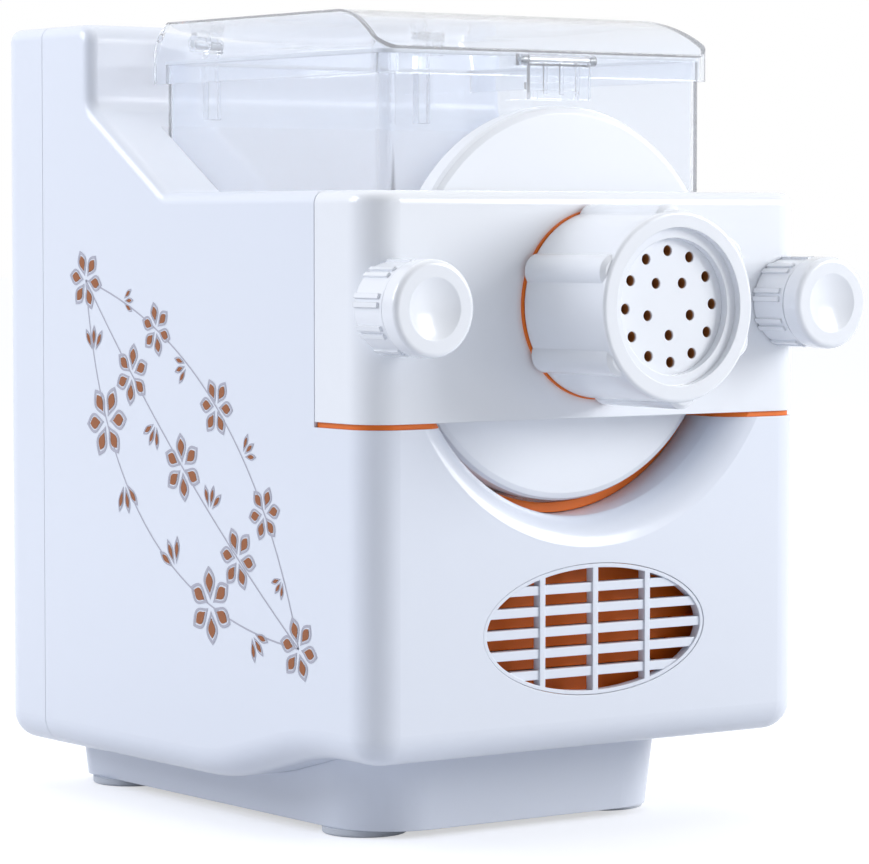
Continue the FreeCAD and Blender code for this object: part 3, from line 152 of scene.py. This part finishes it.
# %% [markdown]
# Clear styrene for the bin, its lid and the clasp. It is a true solid wall in the construction, so what is
# behind it bends as it does in the real piece. Shadow and diffuse rays pass straight through, because thin
# clear walls throw almost no shadow and the white walls inside the bin are bright.

# %% Clear and dark transparent plastics
def clear_plastic(name, code, roughness, transmission=1.0, index=1.4):
    material, tree, shader = new_material(name)
    set_shader(shader, Base_Color=colour(code), Roughness=roughness)
    set_shader(shader, Transmission_Weight=transmission, IOR=index)
    rounded_edges(tree, shader, 0.0008)
    ray = add_node(tree, "ShaderNodeLightPath")
    passing = add_node(tree, "ShaderNodeBsdfTransparent")
    either = add_node(tree, "ShaderNodeMath", operation="MAXIMUM")
    mix = add_node(tree, "ShaderNodeMixShader")
    tree.links.new(ray.outputs["Is Shadow Ray"], either.inputs[0])
    tree.links.new(ray.outputs["Is Diffuse Ray"], either.inputs[1])
    tree.links.new(either.outputs["Value"], mix.inputs["Fac"])
    tree.links.new(shader.outputs["BSDF"], mix.inputs[1])
    tree.links.new(passing.outputs["BSDF"], mix.inputs[2])
    tree.links.new(mix.outputs["Shader"], tree.nodes["Material Output"].inputs["Surface"])
    return material


styrene_clear = clear_plastic("clear_styrene_faint_blue", "#F7FAFF", 0.02, 0.88)
acrylic_dark = clear_plastic("smoked_acrylic", "#20262E", 0.05, 0.6, 1.49)
print("clear plastics made")


# %% [markdown]
# Rubber is matt with a fine grain. Metals carry long thin streaks where they are turned or brushed: noise
# stretched along the shaft direction changes their roughness only.

# %% Rubber and metals
def moulded_rubber(name, code):
    material, tree, shader = new_material(name)
    noise = add_node(tree, "ShaderNodeTexNoise", {"Scale": 900.0, "Detail": 4.0})
    tree.links.new(object_coordinates(tree), noise.inputs["Vector"])
    set_shader(shader, Base_Color=colour(code), Roughness=0.75)
    rounded_edges(tree, shader, 0.0005, noise.outputs["Fac"], 0.3)
    return material


def brushed_metal(name, code, roughness, stretch=(400, 8, 400)):
    material, tree, shader = new_material(name)
    noise = add_node(tree, "ShaderNodeTexNoise", {"Scale": 4.0, "Detail": 5.0})
    tree.links.new(object_coordinates(tree, stretch), noise.inputs["Vector"])
    streak = add_node(tree, "ShaderNodeMapRange", {"To Min": roughness * 0.7, "To Max": roughness * 1.4})
    tree.links.new(noise.outputs["Fac"], streak.inputs["Value"])
    tree.links.new(streak.outputs["Result"], shader.inputs["Roughness"])
    set_shader(shader, Base_Color=colour(code), Metallic=1.0)
    rounded_edges(tree, shader, 0.0003)
    return material


silicone_grey = moulded_rubber("moulded_silicone_pale_grey", "#D5DAE2")
steel = brushed_metal("turned_steel", "#B9BCC0", 0.3)
brass = brushed_metal("machined_brass", "#C9A25A", 0.28)
nickel = brushed_metal("nickel_plated_brass", "#CFCBC2", 0.2, (60, 60, 60))
print("materials", sorted(m.name for m in bpy.data.materials))

# %% [markdown]
# The die is the same white plastic on its face, while the walls of its holes are stained orange brown.
# The stain is a mask by depth: it starts a little behind the face and is complete a millimetre further in.

# %% Die with stained holes
def stained_die(stain_code, start, full):
    material, tree, shader = new_material("die_white_with_stained_holes")
    depth = add_node(tree, "ShaderNodeSeparateXYZ")
    tree.links.new(object_coordinates(tree), depth.inputs["Vector"])
    mask = add_node(tree, "ShaderNodeMapRange", {"From Min": start, "From Max": full})
    tree.links.new(depth.outputs["Y"], mask.inputs["Value"])
    mix = add_node(tree, "ShaderNodeMix", data_type="RGBA")
    mix.inputs["A"].default_value = colour("#ECF0F7")
    mix.inputs["B"].default_value = colour(stain_code)
    tree.links.new(mask.outputs["Result"], mix.inputs["Factor"])
    tree.links.new(mix.outputs["Result"], shader.inputs["Base Color"])
    set_shader(shader, Roughness=0.3)
    rounded_edges(tree, shader, 0.0003)
    return material


DIE_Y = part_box("die")[0].y
die_finish = stained_die("#A8703C", DIE_Y + 0.3 * MM, DIE_Y + 1.2 * MM)
print("die stained behind y", round(DIE_Y, 4))


# %% [markdown]
# Every construction piece takes the finish of its slot in the record, so a piece added later to a slot
# is finished without a change here.

# %% Finishes by slot
FINISH = {
    "white_shell": abs_housing,
    "white_trim": abs_trim,
    "orange_plastic": abs_orange,
    "clear_plastic": styrene_clear,
    "paddle_plastic": pom_white,
    "soft_rubber": silicone_grey,
    "steel": steel,
    "brass": brass,
    "gear_plastic": nylon_grey,
    "magnet_grey": ferrite,
    "panel_grey": abs_panel,
    "display_dark": acrylic_dark,
    "board_green": board_green,
    "button_plastic": abs_button,
    "black_plastic": pa_black,
    "pin_metal": nickel,
}
for row in frame["record"]["subparts"]:
    piece = nodes[row["node"]]
    piece.data.materials.clear()
    piece.data.materials.append(FINISH[row["material_slot"]])
nodes["die"].data.materials[0] = die_finish
print("finished", len(nodes), "pieces")


# %% [markdown]
# The printed spray on the left panel. Two stamps are drawn flat: a blossom with drop-shaped petals, and
# a leaf. Each has a filled layer in orange brown and a thin grey outline. They are pad-printed on the
# real thing, so they sit a few hundredths of a millimetre off the panel.

# %% Stamps for the printed spray
def drop_outline(length, width, count=9):
    """Petal or leaf outline from its tip at the origin: a sine swell, wider towards the far end."""
    rim = []
    for i in range(count + 1):
        t = i / count
        rim.append((t * length, width / 2 * math.sin(math.pi * t ** 1.25)))
    return rim + [(x, -y) for x, y in reversed(rim[1:-1])]


def place_outline(points, turn, start, shrink=1.0):
    c, s = math.cos(turn), math.sin(turn)
    middle = sum(x for x, _ in points) / len(points)
    moved = [((x - middle) * shrink + middle + start, y * shrink) for x, y in points]
    return [(x * c - y * s, x * s + y * c) for x, y in moved]


def flat_mesh(name, rings, holes=None):
    """Filled outlines, or bands between pairs of outlines, lying in the YZ plane of the panel."""
    mesh = bpy.data.meshes.new(name)
    work = bmesh.new()
    for i, ring in enumerate(rings):
        outer = [work.verts.new((0, -y, z)) for y, z in ring]
        if holes is None:
            work.faces.new(outer)
            continue
        inner = [work.verts.new((0, -y, z)) for y, z in holes[i]]
        for k in range(len(outer)):
            j = (k + 1) % len(outer)
            work.faces.new((outer[k], outer[j], inner[j], inner[k]))
    work.to_mesh(mesh)
    work.free()
    return mesh


def stamp_pair(name, parts, band=0.74, fill=0.6):
    """One filled mesh and one outline mesh for parts given as (outline, turn, start)."""
    whole = [place_outline(o, turn, start) for o, turn, start in parts]
    inside = [place_outline(o, turn, start, band) for o, turn, start in parts]
    core = [place_outline(o, turn, start, fill) for o, turn, start in parts]
    return flat_mesh(name + "_fill", core), flat_mesh(name + "_line", whole, inside)


PETALS = 6
petal = drop_outline(1.0, 0.62)
blossom_parts = [(petal, 2 * math.pi * i / PETALS, 0.16) for i in range(PETALS)]
leaf = drop_outline(1.0, 0.34)
leaf_parts = [(leaf, turn, 0.25) for turn in (-0.55, 0.0, 0.55)]
blossom_fill, blossom_line = stamp_pair("blossom", blossom_parts)
leaf_fill, leaf_line = stamp_pair("leaf", leaf_parts)
print("stamps", len(blossom_fill.polygons), "petals,", len(leaf_fill.polygons), "leaves")

# %% [markdown]
# The spray follows three arcs that rise from the front of the panel to the back. Blossoms and leaves take
# turns along each arc, largest in its middle, and a stamp that would touch an earlier one is left out.

# %% Places along the spray
PANEL_GAP = 0.08 * MM
LAYER_STEP = 0.05 * MM
SPRAY_START = Vector((LEFT_X - PANEL_GAP, FRONT_Y + 48 * MM, AXIS_Z - 132 * MM))
SPRAY_END = Vector((LEFT_X - PANEL_GAP, FRONT_Y + 206 * MM, AXIS_Z + 8 * MM))
SPRAY_ARCS = ((-44, 5, 14.0), (-6, 5, 11.5), (30, 5, 10.0))  # sag in mm, blossoms, blossom reach in mm
LEAF_SHARE = 0.8
STAMP_SPACING = 1.05


def spray_point(t, sag):
    """Point on an arc from the spray's start to its end that sags towards the lower back corner."""
    place = SPRAY_START.lerp(SPRAY_END, t)
    push = 4 * t * (1 - t) * sag * MM
    return place + Vector((0, -push * 0.7, push * 0.7))


def spray_stamps():
    """Blossoms and leaves as (kind, place, size, turn), each clear of the ones before it."""
    stamps = []
    for sag, count, size in SPRAY_ARCS:
        for i in range(2 * count - 1):
            kind = "blossom" if i % 2 == 0 else "leaf"
            t = i / (2 * count - 2)
            share = 1.0 if kind == "blossom" else LEAF_SHARE
            scale = size * share * (0.8 + 0.25 * math.sin(math.pi * t)) * MM
            place = spray_point(t, sag)
            if all((place - other).length > STAMP_SPACING * (scale + reach) for _, other, reach, _ in stamps):
                stamps.append((kind, place, scale, 1.7 * i + 0.02 * sag))
    return stamps


def spray_rows(kind):
    return [(place, size, turn) for name, place, size, turn in spray_stamps() if name == kind]


print("blossoms", len(spray_rows("blossom")), "leaf clusters", len(spray_rows("leaf")))


# %% [markdown]
# Geometry Nodes stamps a drawing on every point. Each point carries its own size and turn, so the same
# small graph serves the blossoms and the leaves, the fills and the outlines.

# %% Stamping graph
def stamp_graph():
    tree = bpy.data.node_groups.new("stamp_on_points", "GeometryNodeTree")
    tree.interface.new_socket("Points", in_out="INPUT", socket_type="NodeSocketGeometry")
    stamp_socket = tree.interface.new_socket("Stamp", in_out="INPUT", socket_type="NodeSocketObject")
    ink_socket = tree.interface.new_socket("Ink", in_out="INPUT", socket_type="NodeSocketMaterial")
    tree.interface.new_socket("Print", in_out="OUTPUT", socket_type="NodeSocketGeometry")
    start = add_node(tree, "NodeGroupInput")
    end = add_node(tree, "NodeGroupOutput")
    stamp = add_node(tree, "GeometryNodeObjectInfo")
    size = add_node(tree, "GeometryNodeInputNamedAttribute", {"Name": "size"}, data_type="FLOAT")
    turn = add_node(tree, "GeometryNodeInputNamedAttribute", {"Name": "turn"}, data_type="FLOAT")
    angles = add_node(tree, "ShaderNodeCombineXYZ")
    copies = add_node(tree, "GeometryNodeInstanceOnPoints")
    real = add_node(tree, "GeometryNodeRealizeInstances")
    inked = add_node(tree, "GeometryNodeSetMaterial")
    link = tree.links.new
    link(start.outputs["Points"], copies.inputs["Points"])
    link(start.outputs["Stamp"], stamp.inputs["Object"])
    link(stamp.outputs["Geometry"], copies.inputs["Instance"])
    link(turn.outputs["Attribute"], angles.inputs["X"])
    link(angles.outputs["Vector"], copies.inputs["Rotation"])
    link(size.outputs["Attribute"], copies.inputs["Scale"])
    link(copies.outputs["Instances"], real.inputs["Geometry"])
    link(real.outputs["Geometry"], inked.inputs["Geometry"])
    link(start.outputs["Ink"], inked.inputs["Material"])
    link(inked.outputs["Geometry"], end.inputs["Print"])
    return tree, stamp_socket.identifier, ink_socket.identifier


graph, stamp_id, ink_id = stamp_graph()
print("graph inputs", stamp_id, ink_id)


# %% [markdown]
# Two inks: an orange brown for the fills and a cool grey for the outlines, both slightly rougher than
# the panel, as a pad print is.

# %% Inks and printed layers
ink_orange = moulded_plastic("pad_print_orange_brown", "#955322", 0.5, edge=0.0)
ink_grey = moulded_plastic("pad_print_grey", "#AFB0BF", 0.5, edge=0.0)


def stem_mesh(steps=36, half=0.35 * MM):
    """Thin ribbons that follow the spray's arcs and join its blossoms."""
    verts, faces = [], []
    for sag, _, _ in SPRAY_ARCS:
        for i in range(steps + 1):
            here, ahead = spray_point(i / steps, sag), spray_point((i + 0.5) / steps, sag)
            across = (ahead - here).cross(Vector((1, 0, 0))).normalized() * half
            verts += [tuple(here + across), tuple(here - across)]
            if i:
                k = len(verts)
                faces.append((k - 4, k - 3, k - 1, k - 2))
    mesh = bpy.data.meshes.new("print_stems")
    mesh.from_pydata(verts, [], faces)
    return mesh


def print_piece(name, mesh):
    layer = bpy.data.objects.new(name, mesh)
    bpy.context.scene.collection.objects.link(layer)
    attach(layer, "housing")
    print(name, len(mesh.polygons), "faces")


def print_layer(name, stamp_mesh, rows, ink, lift):
    cloud = bpy.data.meshes.new(name + "_points")
    cloud.from_pydata([tuple(place + Vector((-lift, 0, 0))) for place, _, _ in rows], [], [])
    for key, column in (("size", 1), ("turn", 2)):
        attribute = cloud.attributes.new(key, "FLOAT", "POINT")
        attribute.data.foreach_set("value", [row[column] for row in rows])
    holder = bpy.data.objects.new(name + "_holder", cloud)
    stamp = bpy.data.objects.new(name + "_stamp", stamp_mesh)
    for thing in (holder, stamp):
        bpy.context.scene.collection.objects.link(thing)
    modifier = holder.modifiers.new("stamp", "NODES")
    modifier.node_group = graph
    modifier[stamp_id] = stamp
    modifier[ink_id] = ink
    bpy.context.view_layer.update()
    mesh = bpy.data.meshes.new_from_object(holder.evaluated_get(bpy.context.evaluated_depsgraph_get()))
    for thing in (holder, stamp):
        bpy.data.objects.remove(thing)
    print_piece(name, mesh)


stems = stem_mesh()
stems.materials.append(ink_grey)
print_piece("print_stems", stems)
for kind, fill, line in (("blossom", blossom_fill, blossom_line), ("leaf", leaf_fill, leaf_line)):
    print_layer(f"print_{kind}_fill", fill, spray_rows(kind), ink_orange, 2 * LAYER_STEP)
    print_layer(f"print_{kind}_line", line, spray_rows(kind), ink_grey, LAYER_STEP)


# %% [markdown]
# The studio: a white floor that runs far back, soft boxes on the right and the left, a weak one above, and
# a white surround that is dimmer towards one side. That dim side gives the rounded front corner and the
# hollows of the front bar their cool, darker tone. What is seen of the floor and the surround directly is
# white, without more light on the machine, and the floor keeps its shadow.

# %% Floor and lights
def seen_ray(tree, others):
    """One for rays that see a surface directly or by the other kinds of ray named, else zero."""
    ray = add_node(tree, "ShaderNodeLightPath")
    seen = ray.outputs["Is Camera Ray"]
    for other in others:
        either = add_node(tree, "ShaderNodeMath", operation="MAXIMUM")
        tree.links.new(seen, either.inputs[0])
        tree.links.new(ray.outputs[other], either.inputs[1])
        seen = either.outputs["Value"]
    return seen


def seamless_floor():
    mesh = bpy.data.meshes.new("floor")
    size = 14.0
    corners = [(-size, -size, 0), (size, -size, 0), (size, size, 0), (-size, size, 0)]
    mesh.from_pydata(corners, [], [(0, 1, 2, 3)])
    floor = bpy.data.objects.new("floor", mesh)
    bpy.context.scene.collection.objects.link(floor)
    material, tree, shader = new_material("matt_studio_floor")
    set_shader(shader, Base_Color=colour("#C0C3CA"), Roughness=0.9, Emission_Color=colour("#FFFFFF"))
    lift = add_node(tree, "ShaderNodeMath", {1: 0.55}, operation="MULTIPLY")
    tree.links.new(seen_ray(tree, ("Is Glossy Ray", "Is Transmission Ray")), lift.inputs[0])
    tree.links.new(lift.outputs["Value"], shader.inputs["Emission Strength"])
    mesh.materials.append(material)
    return floor


def area_light(name, place, aim, size, watts, tint):
    data = bpy.data.lights.new(name, "AREA")
    data.shape = "RECTANGLE"
    data.size, data.size_y = size
    data.energy = watts
    data.color = colour(tint)[:3]
    lamp = bpy.data.objects.new(name, data)
    lamp.location = place
    lamp.rotation_euler = (Vector(aim) - Vector(place)).to_track_quat("-Z", "Y").to_euler()
    bpy.context.scene.collection.objects.link(lamp)
    return lamp


seamless_floor()
MIDDLE = (0, 0, 0.17)
area_light("soft_box_right", (1.6, -1.5, 0.9), MIDDLE, (1.0, 1.0), 31, "#FFFFFF")
area_light("soft_box_left", (-1.6, 1.0, 1.2), MIDDLE, (1.1, 1.1), 23, "#F4F7FF")
area_light("soft_box_above", (0.0, 0.3, 1.9), MIDDLE, (1.6, 1.6), 4, "#FFFFFF")


def surround(dim, full, towards):
    """White surround whose strength falls towards one level direction."""
    world = bpy.data.worlds.new("studio")
    world.use_nodes = True
    tree = world.node_tree
    look = add_node(tree, "ShaderNodeTexCoord")
    facing = add_node(tree, "ShaderNodeVectorMath", operation="DOT_PRODUCT")
    facing.inputs[1].default_value = towards
    limits = {"From Min": -0.1, "From Max": 0.9, "To Min": full, "To Max": dim}
    fall = add_node(tree, "ShaderNodeMapRange", limits)
    tree.links.new(look.outputs["Generated"], facing.inputs[0])
    tree.links.new(facing.outputs["Value"], fall.inputs["Value"])
    white = add_node(tree, "ShaderNodeMix", {"B": 1.0}, data_type="FLOAT")
    tree.links.new(seen_ray(tree, ("Is Transmission Ray",)), white.inputs["Factor"])
    tree.links.new(fall.outputs["Result"], white.inputs["A"])
    background = tree.nodes["Background"]
    background.inputs["Color"].default_value = colour("#FFFFFF")
    tree.links.new(white.outputs["Result"], background.inputs["Strength"])
    return world


bpy.context.scene.world = surround(0.3, 0.9, (-0.62, -0.78, 0.0))
bpy.context.scene.view_settings.view_transform = "Standard"

# %% [markdown]
# The camera stands to the left of the machine at a little above the nut's height and looks slightly
# down, with a long lens. Its place comes from a fit of the photograph's perspective to the construction.

# %% Camera
CAMERA_SIDE = -931.3 * MM
CAMERA_AHEAD = -1178.2 * MM
CAMERA_ABOVE_AXIS = 31.1 * MM
CAMERA_YAW = math.radians(35.92)
CAMERA_PITCH = math.radians(3.08)
SENSOR = 36.0
LENS = 159.8
camera_data = bpy.data.cameras.new("camera")
camera_data.sensor_fit = "HORIZONTAL"
camera_data.sensor_width = SENSOR
camera_data.lens = LENS
camera = bpy.data.objects.new("camera", camera_data)
camera.location = (CAMERA_SIDE, FRONT_Y + CAMERA_AHEAD, AXIS_Z + CAMERA_ABOVE_AXIS)
level = math.cos(CAMERA_PITCH)
looking = Vector((math.sin(CAMERA_YAW) * level, math.cos(CAMERA_YAW) * level, -math.sin(CAMERA_PITCH)))
camera.rotation_euler = looking.to_track_quat("-Z", "Y").to_euler()
bpy.context.scene.collection.objects.link(camera)
bpy.context.scene.camera = camera
print("camera at", [round(v, 3) for v in camera.location])
